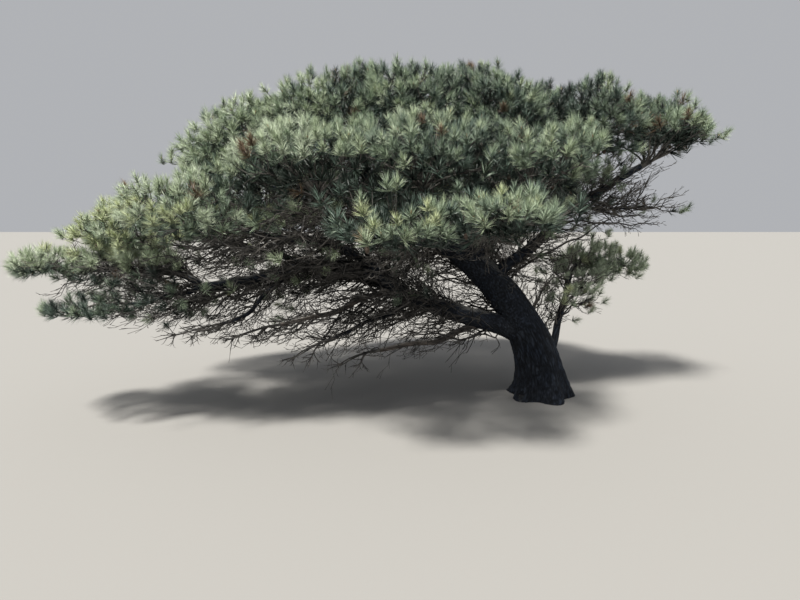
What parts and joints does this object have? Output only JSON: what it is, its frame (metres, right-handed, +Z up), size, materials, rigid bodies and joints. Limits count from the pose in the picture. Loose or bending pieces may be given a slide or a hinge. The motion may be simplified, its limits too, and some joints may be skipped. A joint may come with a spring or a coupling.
{
  "type": "pine tree",
  "caption": "Windswept pine with a short leaning trunk, long level boughs, a flat-topped crown of long-needled tufts and bare twigs under it, cut flat at the ground.",
  "frame": {"origin": "middle of the flat cut under the trunk, at ground level", "axes": "+Z up; +X to the windward side, on the right in the picture, with the crown reaching furthest to -X; +Y away from the picture's viewpoint"},
  "size_m": [10.0582, 6.4713, 4.9889],
  "materials": {
    "bark": "deeply furrowed grey-brown bark, matt",
    "dead_wood": "weathered pale grey wood with no bark, matt",
    "needles": "long sage-green needles in tufts, slightly glossy",
    "bare_twigs": "fine grey-brown dead twigs, matt"
  },
  "bodies": {
    "root": {"trunk": "bark", "low_bough": "bark", "long_bough": "bark", "left_tip_bough": "bark", "left_low_bough": "bark", "left_upper_bough": "bark", "left_rear_bough": "bark", "rising_bough": "bark", "leader": "bark", "shoulder_bough": "bark", "crest_bough": "bark", "crown_bough": "bark", "windward_bough": "bark", "windward_top_bough": "bark", "windward_low_bough": "bark", "side_stem": "bark", "front_left_bough": "bark", "front_bough": "bark", "front_right_bough": "bark", "near_left_bough": "bark", "near_right_bough": "bark", "rear_shoulder_bough": "bark", "rear_left_bough": "bark", "rear_bough": "bark", "rear_right_bough": "bark", "far_left_bough": "bark", "far_right_bough": "bark", "hanging_bough": "bark", "trailing_bough": "bark", "drooping_bough": "dead_wood", "dead_bough": "dead_wood", "left_tip_needles": "needles", "left_low_needles": "needles", "left_upper_needles": "needles", "left_rear_needles": "needles", "rising_needles": "needles", "leader_needles": "needles", "shoulder_needles": "needles", "crest_needles": "needles", "crown_needles": "needles", "windward_needles": "needles", "windward_top_needles": "needles", "windward_low_needles": "needles", "side_needles": "needles", "front_left_needles": "needles", "front_needles": "needles", "front_right_needles": "needles", "near_left_needles": "needles", "near_right_needles": "needles", "rear_shoulder_needles": "needles", "rear_left_needles": "needles", "rear_needles": "needles", "rear_right_needles": "needles", "far_left_needles": "needles", "far_right_needles": "needles", "drooping_twigs": "bare_twigs", "hanging_twigs": "bare_twigs", "trailing_twigs": "bare_twigs", "dead_twigs": "bare_twigs"}
  },
  "joints": []
}
